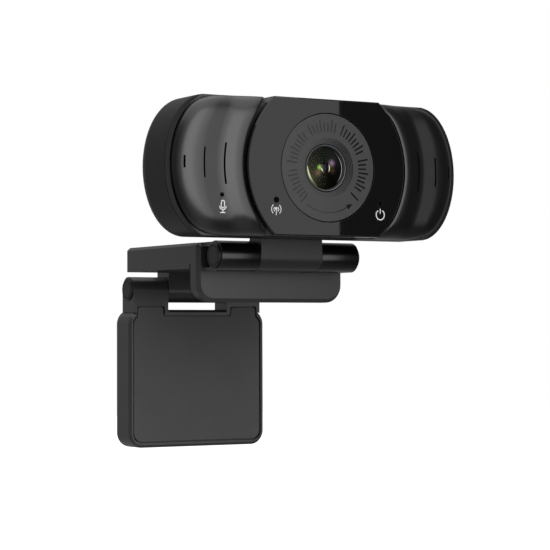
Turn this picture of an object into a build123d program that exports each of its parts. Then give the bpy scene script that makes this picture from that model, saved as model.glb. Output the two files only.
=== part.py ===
from build123d import *
import os

# Webcam with a tilting head on a folding monitor clip.
#
# Row frame, millimetres: the origin is on the underside of the clip's deck, where it rests on a
# monitor's top edge. +X is to the right seen from the front, +Y points back, +Z points up.
# The head's own parts are written in lens coordinates: the same directions, with the origin on the
# lens axis at the front of the centre panel. The lens looks along -Y.

# ---- Driving dimensions ----------------------------------------------------------------------
LENS_Y = -63.0          # where the lens origin lies in the row frame
LENS_Z = 30.8

HEAD_STRAIGHT = 40.0    # half length of the straight top and bottom edges
HEAD_END = 13.7         # how far each elliptical end reaches past the straight edges
HEAD_HALF_H = 21.7      # half height
HEAD_BACK = 28.4        # depth of the rear shell's back, in lens coordinates
RIM_Y = 7.6             # depth of the rim where the front bezel sits in the rear shell
REAR_FILLET = 8.0
WALL = 1.8

PANEL_R = 28.85         # the gloss panel is a disc, cut flat at the top and bottom
PANEL_HALF_H = 21.5
PANEL_T = 2.2
RING_R = 17.0           # matt trim ring round the lens
RING_GAP = 0.26         # groove between the ring and the panel
HOOD_R = 9.3            # conical light hood inside the trim ring
BARREL_R = 7.35         # lens barrel
GLASS_R = 6.7           # front lens element
FOCUS_GAP = 0.3         # radial room round the moving lens

HINGE_Y = -36.07        # head tilt axis, parallel to X
HINGE_Z = 3.76
HINGE_R = 4.82          # outside of the front knuckles
HINGE_HALF_L = 25.62
NECK_HALF_W = 11.41
NECK_SEAM = 11.6        # inner faces of the clip's front knuckles

DECK_HALF_W = 27.5
DECK_T = 8.3
DECK_FRONT = -27.75
DECK_REAR = 24.2
COVER_T = 1.5           # bottom cover of the deck
LIP_BOTTOM = -10.9
LIP_T = 4.85
LIP_CORNER = 6.0
LIP_BEVEL = 1.25

FOOT_AXIS_Y = 27.56     # foot fold axis, parallel to X
FOOT_AXIS_Z = -5.87
FOOT_R = 4.4
FOOT_HALF_W = 26.55
FOOT_TOP = -12.77
FOOT_BOTTOM = -60.21
FOOT_T = 10.6
FOOT_CORNER = 5.0
EAR_INNER = 11.58
EAR_OUTER = 24.85
BLOCK_HALF_W = 11.3     # the deck's rear knuckle, between the ears

PIN_R = 1.5             # both hinge pins
PIN_RUNNING = 0.05      # radial running clearance of the pins where they turn

TRIPOD_Y = 11.0         # 1/4 inch tripod insert in the deck's underside
TRIPOD_BORE_R = 2.55
TRIPOD_DEPTH = 5.4

SCREW_R = 1.0           # shank of the case screws
SMALL_SCREW_R = 0.8     # shank of the board and cover screws
TINY = 0.01             # reach past a face, so that a cut leaves no skin
FOOT_FRONT = FOOT_AXIS_Y - FOOT_R
FOOT_BACK = FOOT_FRONT + FOOT_T


# ---- Shape helpers ---------------------------------------------------------------------------
def block(x0, x1, y0, y1, z0, z1):
    """A box between two corners."""
    centre = Pos((x0 + x1) / 2, (y0 + y1) / 2, (z0 + z1) / 2)
    return centre * Box(x1 - x0, y1 - y0, z1 - z0)


def prism_y(sketch, y0, y1):
    """A sketch in X and Z, extruded from y0 to y1."""
    return Pos(0, y1, 0) * extrude(Plane.XZ * sketch, y1 - y0)


def prism_x(sketch, x0, x1):
    """A sketch in Y and Z, extruded from x0 to x1."""
    return Pos(x0, 0, 0) * extrude(Plane.YZ * sketch, x1 - x0)


def rod_y(x, z, radius, y0, y1):
    return prism_y(Pos(x, z) * Circle(radius), y0, y1)


def rod_x(y, z, radius, x0, x1):
    return prism_x(Pos(y, z) * Circle(radius), x0, x1)


def rod_z(x, y, radius, z0, z1):
    return Pos(x, y, z0) * extrude(Circle(radius), z1 - z0)


def turned_y(points):
    """A solid of revolution about the lens axis, from a closed outline of (radius, depth) points."""
    profile = make_face(Polyline(*points, close=True))
    return revolve(profile, Axis.Y, 360)


def both_sides(maker):
    """The same shape made for the left (-1) and the right (+1)."""
    return maker(-1) + maker(1)


def joined(shapes):
    """One shape from a list of separate or touching shapes."""
    total = shapes[0]
    for shape in shapes[1:]:
        total = total + shape
    return total


def four_corners(half_x, z_low, z_high):
    return [(side * half_x, z) for side in (-1, 1) for z in (z_low, z_high)]


# ---- Head: casings ---------------------------------------------------------------------------
BEZEL_INSET = WALL + 0.15          # the bezel slips inside the shell's rim with a small groove
BEZEL_FRONT = 2.3                  # crest of the wings
BEZEL_WALL = 1.7
COLLAR_R = 30.1                    # the wings' lip round the panel, across a narrow groove
COLLAR_Y = 0.6
COLLAR_END_R = 38.0
GROOVE_Y = 3.0                     # bottom of the groove between panel and lip
BEZEL_SKIRT = 12.0                 # the skirt's end, inside the shell
BEZEL_FLAT = 39.0                  # the wings bow back beyond this half width
BEZEL_ROLL = 5.2                   # rounding along the wings' top and bottom
RIM_GAP = 0.08                     # seam between the bezel and the rear shell's rim
WING_CENTRE = 32.75                # the wings' elliptical ends, wider and taller than the head's own
WING_REACH = 19.0
WING_HALF_H = 24.0
SLOTS = ((35.9, -6.2, 6.6), (42.7, -4.4, 5.0), (48.8, -1.5, 2.3))   # radius, lowest Z, highest Z
SLOT_W = 0.56
CASE_POSTS = four_corners(42.0, -13.5, 13.5)
BOARD_POSTS = four_corners(31.0, -10.0, 13.5)
MIC_X = -36.6
MIC_Z = -9.4
LED_PLACES = ((-18.8, -10.6), (19.4, -10.75))
LED_R = 1.0
BOARD_FRONT = 17.0
BOARD_T = 1.6
BOARD_BACK = BOARD_FRONT + BOARD_T
POST_SPLIT = 18.2                  # where the bezel's and the shell's screw posts meet
HEAD_SCREW_SEAT = 25.0             # depth at which a case screw's head sits
GLAND_Z = -5.0


def head_outline(inset=0.0):
    """Flat top and bottom with elliptical ends, inset evenly."""
    half_h = HEAD_HALF_H - inset
    end = HEAD_END - inset
    outline = Rectangle(2 * HEAD_STRAIGHT, 2 * half_h)
    for side in (-1, 1):
        outline += Pos(side * HEAD_STRAIGHT, 0) * Ellipse(end, half_h)
    return outline


def wing_outline(inset=0.0):
    """The bezel's front: full height in the middle, with ends that leave a crescent of rim showing."""
    half_h = HEAD_HALF_H - inset
    ends = Rectangle(2 * WING_CENTRE, 2 * half_h)
    for side in (-1, 1):
        ends += Pos(side * WING_CENTRE, 0) * Ellipse(WING_REACH - inset, WING_HALF_H - inset)
    outline = ends & Rectangle(4 * HEAD_STRAIGHT, 2 * half_h)
    return fillet(outline.vertices(), 3.0)


def pillow(inset=0.0):
    """The bezel's bowed block. A larger inset gives the parallel inner surface."""
    half_x = WING_CENTRE + WING_REACH - inset
    front = BEZEL_FRONT + inset
    side_start = RIM_Y + inset
    bowed = make_face(
        [
            Line((-half_x, BEZEL_SKIRT), (-half_x, side_start)),
            ThreePointArc((-half_x, side_start), (-half_x + 3.4, front + 1.45), (-BEZEL_FLAT, front)),
            Line((-BEZEL_FLAT, front), (BEZEL_FLAT, front)),
            ThreePointArc((BEZEL_FLAT, front), (half_x - 3.4, front + 1.45), (half_x, side_start)),
            Line((half_x, side_start), (half_x, BEZEL_SKIRT)),
            Line((half_x, BEZEL_SKIRT), (-half_x, BEZEL_SKIRT)),
        ]
    )
    half_z = HEAD_HALF_H - inset
    rolled = Rectangle(2 * (BEZEL_SKIRT - front), 2 * half_z)
    rolled = fillet(rolled.vertices(), BEZEL_ROLL - inset)
    shape = prism_y(wing_outline(inset), front - 1, BEZEL_SKIRT)
    shape = shape & Pos(0, 0, -half_z) * extrude(bowed, 2 * half_z)
    return shape & prism_x(Pos(BEZEL_SKIRT, 0) * rolled, -half_x, half_x)


def bezel_block(inset=0.0):
    """The pillow in front of the rear shell's rim, with a skirt that slips inside the rim."""
    room = prism_y(head_outline(BEZEL_INSET + inset), 0, BEZEL_SKIRT)
    if inset:
        return pillow(inset) & room
    front = pillow() & block(-100, 100, 0, RIM_Y - RIM_GAP, -100, 100)
    return front + (pillow() & room)


def panel_sketch(radius=PANEL_R, half_h=PANEL_HALF_H):
    return Circle(radius) & Rectangle(4 * radius, 2 * half_h)


def slot_cut(side, radius, z_low, z_high):
    """A narrow slot through a wing, curved round the lens axis."""
    ring = Circle(radius + SLOT_W / 2) - Circle(radius - SLOT_W / 2)
    stretch = Pos(side * radius, (z_low + z_high) / 2) * Rectangle(radius / 2, z_high - z_low)
    return prism_y(ring & stretch, 0, BEZEL_SKIRT)


def flared_collar():
    """The wings rise to a thin lip round the panel, then slope down and away from it."""
    flare = turned_y(
        [
            (COLLAR_R - 1, GROOVE_Y),
            (COLLAR_R - 1, COLLAR_Y),
            (COLLAR_R + 0.5, COLLAR_Y),
            (COLLAR_R + 5.1, COLLAR_Y + 1.6),
            (COLLAR_END_R, BEZEL_FRONT + TINY),
            (COLLAR_END_R, GROOVE_Y),
        ]
    )
    return flare & Pos(0, COLLAR_Y - BEZEL_FRONT, 0) * pillow()


def front_bezel():
    shape = bezel_block() - bezel_block(BEZEL_WALL)
    shape += prism_y(panel_sketch(), PANEL_T, RIM_Y - 0.05)
    shape -= prism_y(panel_sketch(PANEL_R - BEZEL_WALL, HEAD_HALF_H - BEZEL_INSET - BEZEL_WALL), 4.2, RIM_Y)
    shape += flared_collar()
    shape -= prism_y(Circle(COLLAR_R) - Circle(PANEL_R), 0, GROOVE_Y)
    shape -= block(-12.7, 12.7, PANEL_T - 1, 6.0, -12.7, 12.7)
    for x, z in CASE_POSTS:
        shape += rod_y(x, z, 2.5, BEZEL_FRONT + 1.0, POST_SPLIT)
        shape -= rod_y(x, z, SCREW_R, 8.0, POST_SPLIT + TINY)
    for x, z in BOARD_POSTS:
        shape += rod_y(x, z, 2.0, BEZEL_FRONT + 1.0, BOARD_FRONT)
        shape -= rod_y(x, z, SMALL_SCREW_R, 9.0, BOARD_FRONT + TINY)
    for x, z in LED_PLACES:
        shape -= rod_y(x, z, LED_R, 0, BEZEL_SKIRT)
    shape -= rod_y(MIC_X, MIC_Z, 0.7, 0, BEZEL_SKIRT)
    for side in (-1, 1):
        for radius, z_low, z_high in SLOTS:
            shape -= slot_cut(side, radius, z_low, z_high)
    return shape


def centre_panel():
    shape = prism_y(panel_sketch(), 0, PANEL_T)
    front_edges = shape.faces().sort_by(Axis.Y)[0].edges()
    shape = chamfer(front_edges, 0.35)
    shape -= rod_y(0, 0, RING_R + RING_GAP, -1, PANEL_T + 1)
    for x, z in LED_PLACES:
        shape -= rod_y(x, z, LED_R, -1, PANEL_T + 1)
    return shape


NECK_TOP = -16.4                   # the top of the neck, inside the shell
NECK_BACK = 27.9
NECK_FLANGE = (-13.0, 13.0, 12.3, 24.0, -18.6, NECK_TOP)
NECK_SCREW_PLACES = ((-8.5, 15.0), (8.5, 15.0))


def neck_profile(grow=0.0):
    """The neck's side outline in lens coordinates: a barrel round the hinge with a rising neck."""
    axis_y = HINGE_Y - LENS_Y
    axis_z = HINGE_Z - LENS_Z
    front = axis_y - HINGE_R
    outline = Pos(axis_y, axis_z) * Circle(HINGE_R + grow)
    neck = Polyline(
        (front - grow, axis_z),
        (front - grow, NECK_TOP),
        (NECK_BACK + grow, NECK_TOP),
        (axis_y + HINGE_R + grow, axis_z),
        close=True,
    )
    return outline + make_face(neck)


def rear_shell():
    shape = prism_y(head_outline(), RIM_Y, HEAD_BACK)
    shape = fillet(shape.faces().sort_by(Axis.Y)[-1].edges(), REAR_FILLET)
    shape = chamfer(shape.faces().sort_by(Axis.Y)[0].edges(), 0.2)
    inside = prism_y(head_outline(WALL), RIM_Y - 1, HEAD_BACK - WALL)
    inside = fillet(inside.faces().sort_by(Axis.Y)[-1].edges(), REAR_FILLET - WALL)
    shape -= inside
    floor_z = -HEAD_HALF_H + WALL
    for x, z in CASE_POSTS:
        shape += rod_y(x, z, 3.0, POST_SPLIT, HEAD_BACK - 1)
        shape -= rod_y(x, z, SCREW_R + 0.1, POST_SPLIT - TINY, HEAD_BACK)
        shape -= rod_y(x, z, 2.2, HEAD_SCREW_SEAT, HEAD_BACK + 1)
    for x, y in NECK_SCREW_PLACES:
        shape += rod_z(x, y, 2.4, floor_z - 0.5, NECK_FLANGE[4])
        shape -= rod_z(x, y, SMALL_SCREW_R, floor_z - 0.8, NECK_FLANGE[4] + TINY)
    shape -= prism_x(neck_profile(0.1), -NECK_HALF_W - 0.1, NECK_HALF_W + 0.1)
    shape -= rod_y(0, GLAND_Z, 3.0, HEAD_BACK - 5, HEAD_BACK + 1)
    return shape


def shell_screws():
    screws = []
    for x, z in CASE_POSTS:
        screw = rod_y(x, z, SCREW_R, 10.0, HEAD_SCREW_SEAT)
        screw += rod_y(x, z, 1.95, HEAD_SCREW_SEAT, HEAD_SCREW_SEAT + 1.4)
        cross = block(x - 1.1, x + 1.1, HEAD_SCREW_SEAT + 0.7, HEAD_SCREW_SEAT + 2, z - 0.25, z + 0.25)
        cross += block(x - 0.25, x + 0.25, HEAD_SCREW_SEAT + 0.7, HEAD_SCREW_SEAT + 2, z - 1.1, z + 1.1)
        screws.append(screw - cross)
    return joined(screws)


def neck_bracket():
    axis_y = HINGE_Y - LENS_Y
    axis_z = HINGE_Z - LENS_Z
    shape = prism_x(neck_profile(), -NECK_HALF_W, NECK_HALF_W)
    shape += block(*NECK_FLANGE)
    shape -= rod_x(axis_y, axis_z, BUSH_R, -NECK_HALF_W - 1, NECK_HALF_W + 1)
    for x, y in NECK_SCREW_PLACES:
        shape -= rod_z(x, y, SMALL_SCREW_R + 0.1, NECK_FLANGE[4] - 1, NECK_TOP + 1)
    return shape


BUSH_R = 2.5


def neck_bush():
    axis_y = HINGE_Y - LENS_Y
    axis_z = HINGE_Z - LENS_Z
    sleeve = Circle(BUSH_R) - Circle(PIN_R + PIN_RUNNING)
    return prism_x(Pos(axis_y, axis_z) * sleeve, -NECK_HALF_W + 0.2, NECK_HALF_W - 0.2)


def neck_screws():
    screws = []
    for x, y in NECK_SCREW_PLACES:
        screw = rod_z(x, y, SMALL_SCREW_R, -HEAD_HALF_H + WALL - 0.6, NECK_TOP)
        screws.append(screw + rod_z(x, y, 1.7, NECK_TOP, NECK_TOP + 1.1))
    return joined(screws)


def cable_gland():
    """Rubber grommet that the cable leaves by. Its lips hold it in the shell's back."""
    shape = rod_y(0, GLAND_Z, 3.0, HEAD_BACK - WALL - 2.0, HEAD_BACK)
    collar = rod_y(0, GLAND_Z, 4.3, HEAD_BACK, HEAD_BACK + 1.5)
    collar = fillet(collar.faces().sort_by(Axis.Y)[-1].edges(), 0.6)
    shape += collar
    shape += rod_y(0, GLAND_Z, 4.0, HEAD_BACK - WALL - 2.0, HEAD_BACK - WALL)
    return shape - rod_y(0, GLAND_Z, 1.9, HEAD_BACK - 6, HEAD_BACK + 3)


# ---- Head: lens trim and optics --------------------------------------------------------------
HOUSING_HALF = 12.6
HOUSING_FRONT = 5.8
HOUSING_BACK = 15.0
HOOD_STEPS = 4
HOOD_STEP_DEPTH = 0.3


def lens_ring():
    shape = rod_y(0, 0, RING_R, 0, PANEL_T)
    shape = chamfer(shape.faces().sort_by(Axis.Y)[0].edges(), 0.15)
    return shape - rod_y(0, 0, HOOD_R, -1, PANEL_T + 1)


def lens_hood():
    """A ring whose mouth goes down to the lens in shallow steps."""
    inner = BARREL_R + FOCUS_GAP
    width = (HOOD_R - inner) / HOOD_STEPS
    profile = [(HOOD_R, 0.1), (HOOD_R, HOUSING_FRONT), (inner, HOUSING_FRONT)]
    for step in range(HOOD_STEPS, 0, -1):
        depth = HOOD_STEP_DEPTH * step
        profile.append((HOOD_R - width * step, depth))
        profile.append((HOOD_R - width * (step - 1) - TINY, depth))
    return turned_y(profile)


def focus_housing():
    shape = block(-HOUSING_HALF, HOUSING_HALF, HOUSING_FRONT, HOUSING_BACK, -HOUSING_HALF, HOUSING_HALF)
    room = HOUSING_HALF - 0.8
    shape -= block(-room, room, HOUSING_FRONT + 0.8, HOUSING_BACK + 1, -room, room)
    return shape - rod_y(0, 0, BARREL_R + 0.4, HOUSING_FRONT - 1, HOUSING_FRONT + 2)


def focus_magnets():
    bar = block(-6.0, 6.0, 8.0, 13.4, 10.4, HOUSING_HALF - 0.8)
    return joined([Rot(0, turn, 0) * bar for turn in (0, 90, 180, 270)])


def focus_springs():
    """Two thin leaf springs, in front of and behind the moving lens carriage."""
    half = HOUSING_HALF - 0.8
    plate = Rectangle(2 * half, 2 * half)
    front = prism_y(plate - Circle(BARREL_R + 0.4), 7.0, 7.1)
    back = prism_y(plate - Circle(THREAD_R + 0.4), 13.9, 14.0)
    return front + back


def sensor_frame():
    shape = block(-HOUSING_HALF, HOUSING_HALF, HOUSING_BACK, BOARD_FRONT, -HOUSING_HALF, HOUSING_HALF)
    shape -= block(-5.0, 5.0, 15.4, BOARD_FRONT + 1, -5.0, 5.0)
    return shape - rod_y(0, 0, 4.0, HOUSING_BACK - 1, 16.0)


def sensor_filter():
    return block(-5.0, 5.0, 15.4, 15.8, -5.0, 5.0)


def image_sensor():
    shape = block(-3.6, 3.6, 16.2, BOARD_FRONT, -3.6, 3.6)
    return shape + block(-2.7, 2.7, 16.1, 16.2, -2.0, 2.0)


THREAD_R = 6.0
BARREL_FRONT = 1.6
BARREL_SHOULDER = 7.2


def lens_barrel():
    shape = rod_y(0, 0, BARREL_R, BARREL_FRONT, BARREL_SHOULDER)
    shape += rod_y(0, 0, THREAD_R, BARREL_SHOULDER, 13.6)
    shape -= rod_y(0, 0, GLASS_R, 0, 5.6)
    shape -= rod_y(0, 0, 5.0, 5.0, 9.0)
    shape -= rod_y(0, 0, 4.6, 8.0, 13.0)
    return shape - rod_y(0, 0, 3.9, 12.0, 14.0)


def lens_retainer():
    return turned_y([(6.4, 1.2), (BARREL_R - 0.15, 1.2), (BARREL_R, 1.35), (BARREL_R, 1.6), (6.4, 1.6)])


def domed_lens(radius, apex, edge, back):
    """A lens element whose front bulges from its edge to its apex."""
    sag = edge - apex
    dome = make_face(
        [
            ThreePointArc((0, apex), (radius / 2, apex + sag * 0.246), (radius, edge)),
            Line((radius, edge), (radius, back)),
            Line((radius, back), (0, back)),
            Line((0, back), (0, apex)),
        ]
    )
    return revolve(dome, Axis.Y, 360)


def front_element():
    return domed_lens(GLASS_R, 1.0, 2.2, 4.4)


def aperture_stop():
    return prism_y(Circle(GLASS_R) - Circle(2.2), 5.2, 5.6)


def middle_element():
    return domed_lens(5.0, 6.2, 6.9, 8.6)


def rear_element():
    return domed_lens(4.6, 10.4, 11.2, 13.0)


def focus_carriage():
    return prism_y(Circle(8.7) - Circle(THREAD_R), 7.8, 13.2)


def focus_coil():
    return prism_y(Circle(9.7) - Circle(8.7), 8.8, 12.6)


# ---- Head: electronics -----------------------------------------------------------------------
def main_board():
    sketch = Pos(0, 1.75) * RectangleRounded(72, 31.5, 2.0)
    for x, z in BOARD_POSTS:
        sketch -= Pos(x, z) * Circle(SMALL_SCREW_R + 0.1)
    return prism_y(sketch, BOARD_FRONT, BOARD_BACK)


def board_screws():
    screws = []
    for x, z in BOARD_POSTS:
        screw = rod_y(x, z, SMALL_SCREW_R, 12.0, BOARD_BACK)
        screws.append(screw + rod_y(x, z, 1.6, BOARD_BACK, BOARD_BACK + 1.0))
    return joined(screws)


def board_chips():
    chips = [
        block(-6, 6, BOARD_BACK, BOARD_BACK + 1.2, -6, 6),
        block(-17, -11, BOARD_BACK, BOARD_BACK + 1.0, -2.5, 2.5),
        block(12, 17, BOARD_BACK, BOARD_BACK + 1.0, -3, 3),
        block(20, 24, BOARD_BACK, BOARD_BACK + 1.5, 4, 8),
    ]
    return joined(chips)


def cable_connector():
    shape = block(-5.5, 5.5, BOARD_BACK, BOARD_BACK + 4.5, 9.0, 15.0)
    return shape - block(-4.7, 4.7, BOARD_BACK + 1.2, BOARD_BACK + 5, 9.8, 14.2)


def microphone():
    return rod_y(MIC_X, MIC_Z, 1.9, 6.0, 8.4)


def microphone_boot():
    shape = rod_y(MIC_X, MIC_Z, 2.6, BEZEL_FRONT + BEZEL_WALL, 9.0)
    shape -= rod_y(MIC_X, MIC_Z, 1.9, 6.0, 10.0)
    return shape - rod_y(MIC_X, MIC_Z, 0.7, 3.0, 7.0)


def acoustic_mesh(side):
    """Fine mesh glued behind the three slots of a wing."""
    sheet = pillow(BEZEL_WALL) - pillow(BEZEL_WALL + 0.25)
    x0, x1 = sorted((side * 33.8, side * 50.0))
    return sheet & block(x0, x1, 0, 7.5, -6.6, 7.2)


def light_guide(place):
    x, z = place
    shape = rod_y(x, z, LED_R, 0.1, 15.0)
    return shape + rod_y(x, z, 1.5, 13.5, 15.0)


def status_leds():
    return joined([block(x - 0.8, x + 0.8, 15.8, BOARD_FRONT, z - 0.5, z + 0.5) for x, z in LED_PLACES])


# ---- Clip ------------------------------------------------------------------------------------
LIP_BACK = DECK_FRONT + LIP_T
WEB_TOP_T = 1.4
WEB_BOTTOM_T = 1.2
CAP_R = 4.05
CAP_PROUD = 0.75
CAP_STUB_R = 3.0
CAP_GROOVE_INSET = 0.6             # a ring groove in the cap's face, near its edge
CAP_GROOVE_W = 0.35
CAP_GROOVE_DEPTH = 0.3
WASHER_R = 3.4
COVER_SCREW_PLACES = [(side * 21.5, y) for side in (-1, 1) for y in (-16.0, 18.0)]
COVER_GAP = 0.8                    # the cover stops short of the lip, behind its rubber pad
INSERT_R = 4.0                     # outside of the tripod insert
LIP_PAD_HALF_W = 22.0
LIP_PAD_LOW = -9.0
LIP_PAD_HIGH = -1.0
LIP_PAD_PROUD = 0.5
LIP_PAD_SEAT = 0.6                 # how deep the lip's pad is let in


def lip_outline(inset=0.0):
    """The front of the clip seen from the front: deck height above, lip below, round lower corners."""
    half_w = DECK_HALF_W - inset
    low = LIP_BOTTOM + inset
    high = DECK_T - inset
    sketch = Pos(0, (low + high) / 2) * Rectangle(2 * half_w, high - low)
    corners = sketch.vertices().sort_by(Axis.Y)
    sketch = fillet(corners[:2], LIP_CORNER - inset)
    return fillet(sketch.vertices().sort_by(Axis.Y)[-2:], 1.6)


def front_knuckle(side):
    """One front knuckle with its two webs, which leave a pocket between knuckle and deck."""
    x0, x1 = sorted((side * NECK_SEAM, side * HINGE_HALF_L))
    shape = rod_x(HINGE_Y, HINGE_Z, HINGE_R, x0, x1)
    shape += block(x0, x1, HINGE_Y, DECK_FRONT + 1, DECK_T - WEB_TOP_T, DECK_T)
    low = HINGE_Z - HINGE_R
    shape += block(x0, x1, HINGE_Y, DECK_FRONT + 1, low, low + WEB_BOTTOM_T)
    inner0, inner1 = sorted((side * (NECK_SEAM - 1), side * (NECK_SEAM + 0.45)))
    shape -= rod_x(HINGE_Y, HINGE_Z, WASHER_R + 0.1, inner0, inner1)
    shape -= rod_x(HINGE_Y, HINGE_Z, PIN_R, x0 - 1, x1 + 1)
    stub0, stub1 = sorted((side * (HINGE_HALF_L - 2), side * (HINGE_HALF_L + 1)))
    return shape - rod_x(HINGE_Y, HINGE_Z, CAP_STUB_R, stub0, stub1)


def rear_knuckle():
    """The block under the deck's rear edge that the foot's ears fold on."""
    back = FOOT_AXIS_Y + FOOT_R
    sketch = Pos(FOOT_AXIS_Y, FOOT_AXIS_Z) * Circle(FOOT_R)
    side = Pos((FOOT_FRONT + back) / 2, (FOOT_AXIS_Z + DECK_T) / 2) * Rectangle(
        back - FOOT_FRONT, DECK_T - FOOT_AXIS_Z
    )
    top_back = side.vertices().sort_by(Axis.X)[-2:].sort_by(Axis.Y)[-1]
    sketch += fillet(top_back, 5.0)
    shape = prism_x(sketch, -BLOCK_HALF_W, BLOCK_HALF_W)
    return shape - rod_x(FOOT_AXIS_Y, FOOT_AXIS_Z, PIN_R + PIN_RUNNING, -20, 20)


def clip_frame():
    front = prism_y(lip_outline(), DECK_FRONT, LIP_BACK)
    front = chamfer(front.faces().sort_by(Axis.Y)[0].edges(), LIP_BEVEL)
    deck = block(-DECK_HALF_W, DECK_HALF_W, LIP_BACK - 1, DECK_REAR, COVER_T, DECK_T)
    deck = fillet(deck.edges().filter_by(Axis.Z).sort_by(Axis.Y)[-2:], 1.6)
    rear_face = deck.faces().sort_by(Axis.Y)[-1]
    deck = chamfer(rear_face.edges().filter_by(Axis.X).sort_by(Axis.Z)[-1], 1.0)
    inner_w = DECK_HALF_W - WALL
    hollow_front = LIP_BACK + COVER_GAP + 1.2
    hollow = block(-inner_w, inner_w, hollow_front, DECK_REAR - WALL, COVER_T - 1, DECK_T - 1.7)
    deck -= hollow
    shape = front + deck + rear_knuckle()
    for x, y in COVER_SCREW_PLACES:
        shape += rod_z(x, y, 2.3, COVER_T, DECK_T - 1)
        shape -= rod_z(x, y, SMALL_SCREW_R, COVER_T - TINY, 6.0)
    shape += rod_z(0, TRIPOD_Y, INSERT_R + 1.6, COVER_T, DECK_T - 1)
    shape -= rod_z(0, TRIPOD_Y, INSERT_R, 0, TRIPOD_DEPTH + 0.8)
    shape += both_sides(front_knuckle)
    pad_x = LIP_PAD_HALF_W
    return shape - block(-pad_x, pad_x, LIP_BACK - LIP_PAD_SEAT, LIP_BACK + 1, LIP_PAD_LOW, LIP_PAD_HIGH)


def lip_pad():
    middle = (LIP_PAD_LOW + LIP_PAD_HIGH) / 2
    sketch = Pos(0, middle) * Rectangle(2 * LIP_PAD_HALF_W, LIP_PAD_HIGH - LIP_PAD_LOW)
    return prism_y(sketch, LIP_BACK - LIP_PAD_SEAT, LIP_BACK + LIP_PAD_PROUD)


def clip_cover():
    shape = block(-DECK_HALF_W, DECK_HALF_W, LIP_BACK + COVER_GAP, DECK_REAR, 0, COVER_T)
    shape = fillet(shape.edges().filter_by(Axis.Z).sort_by(Axis.Y)[-2:], 1.6)
    shape -= block(-BLOCK_HALF_W, BLOCK_HALF_W, FOOT_FRONT, DECK_REAR + 1, -1, COVER_T + 1)
    shape -= rod_z(0, TRIPOD_Y, INSERT_R, -1, COVER_T + 1)
    for x, y in COVER_SCREW_PLACES:
        shape -= rod_z(x, y, SMALL_SCREW_R + 0.1, -1, COVER_T + 1)
        shape -= rod_z(x, y, 1.8, -1, 0.9)
    return shape


def clip_screws():
    screws = []
    for x, y in COVER_SCREW_PLACES:
        screw = rod_z(x, y, SMALL_SCREW_R, 0.9, 5.0)
        screw += rod_z(x, y, 1.6, 0.15, 0.9)
        screws.append(screw - block(x - 1.1, x + 1.1, y - 0.2, y + 0.2, 0, 0.5))
    return joined(screws)


def tripod_insert():
    """Brass insert whose blind bore opens downwards, flush with the cover."""
    shape = rod_z(0, TRIPOD_Y, INSERT_R, 0, TRIPOD_DEPTH + 0.8)
    return shape - rod_z(0, TRIPOD_Y, TRIPOD_BORE_R, -1, TRIPOD_DEPTH)


def front_hinge_pin():
    reach = HINGE_HALF_L - 2.0
    return rod_x(HINGE_Y, HINGE_Z, PIN_R, -reach, reach)


def hinge_cap(side, y, z, end, radius, stub_radius, proud):
    """A round plug that closes a hinge barrel's end: a disc with a stub in the barrel's bore."""
    face0, face1 = sorted((side * end, side * (end + proud)))
    disc = rod_x(y, z, radius, face0, face1)
    outer = disc.faces().sort_by(Axis.X)[0 if side < 0 else -1]
    disc = fillet(outer.edges(), 0.25)
    groove = Circle(radius - CAP_GROOVE_INSET) - Circle(radius - CAP_GROOVE_INSET - CAP_GROOVE_W)
    groove0, groove1 = sorted((side * (end + proud - CAP_GROOVE_DEPTH), side * (end + proud + 1)))
    disc -= prism_x(Pos(y, z) * groove, groove0, groove1)
    stub0, stub1 = sorted((side * (end - 2.0), side * end))
    return disc + rod_x(y, z, stub_radius, stub0, stub1)


def front_cap(side):
    return hinge_cap(side, HINGE_Y, HINGE_Z, HINGE_HALF_L, CAP_R, CAP_STUB_R, CAP_PROUD)


def washer(side, y, z, start, end, radius):
    x0, x1 = sorted((side * start, side * end))
    ring = Circle(radius) - Circle(PIN_R + PIN_RUNNING)
    return prism_x(Pos(y, z) * ring, x0, x1)


def front_washers():
    return both_sides(
        lambda side: washer(side, HINGE_Y, HINGE_Z, NECK_HALF_W + 0.06, NECK_SEAM + 0.45, WASHER_R)
    )


# ---- Foot ------------------------------------------------------------------------------------
FOOT_CAP_R = 3.7
FOOT_CAP_STUB_R = 2.7
FOOT_CAP_PROUD = 0.6
FOOT_WASHER_R = 3.2
PAD_HALF_W = 24.8
PAD_LOW = FOOT_BOTTOM + 2.0
PAD_HIGH = FOOT_TOP - 2.1
PAD_TAB = (13.3, 23.2, -11.8)      # inner X, outer X and top Z of the pad's two tabs
PAD_DEPTH = 1.4
PAD_GROOVE = 0.4
FOOT_COVER_T = 1.6
FOOT_COVER_INSET = 1.6
FOOT_SCREW_PLACES = four_corners(20.5, -54.0, -20.0)


def ear_profile():
    """Side outline of an ear: round at the axis, straight down to the plate."""
    middle = (FOOT_AXIS_Z + FOOT_TOP) / 2
    return Pos(FOOT_AXIS_Y, FOOT_AXIS_Z) * Circle(FOOT_R) + Pos(FOOT_AXIS_Y, middle - 0.5) * Rectangle(
        2 * FOOT_R, FOOT_AXIS_Z - FOOT_TOP + 1
    )


def foot_ear(side):
    x0, x1 = sorted((side * EAR_INNER, side * EAR_OUTER))
    shape = prism_x(ear_profile(), x0, x1)
    inner0, inner1 = sorted((side * (EAR_INNER - 1), side * (EAR_INNER + 0.4)))
    shape -= rod_x(FOOT_AXIS_Y, FOOT_AXIS_Z, FOOT_WASHER_R + 0.1, inner0, inner1)
    shape -= rod_x(FOOT_AXIS_Y, FOOT_AXIS_Z, PIN_R, x0 - 1, x1 + 1)
    stub0, stub1 = sorted((side * (EAR_OUTER - 2), side * (EAR_OUTER + 1)))
    return shape - rod_x(FOOT_AXIS_Y, FOOT_AXIS_Z, FOOT_CAP_STUB_R, stub0, stub1)


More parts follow.
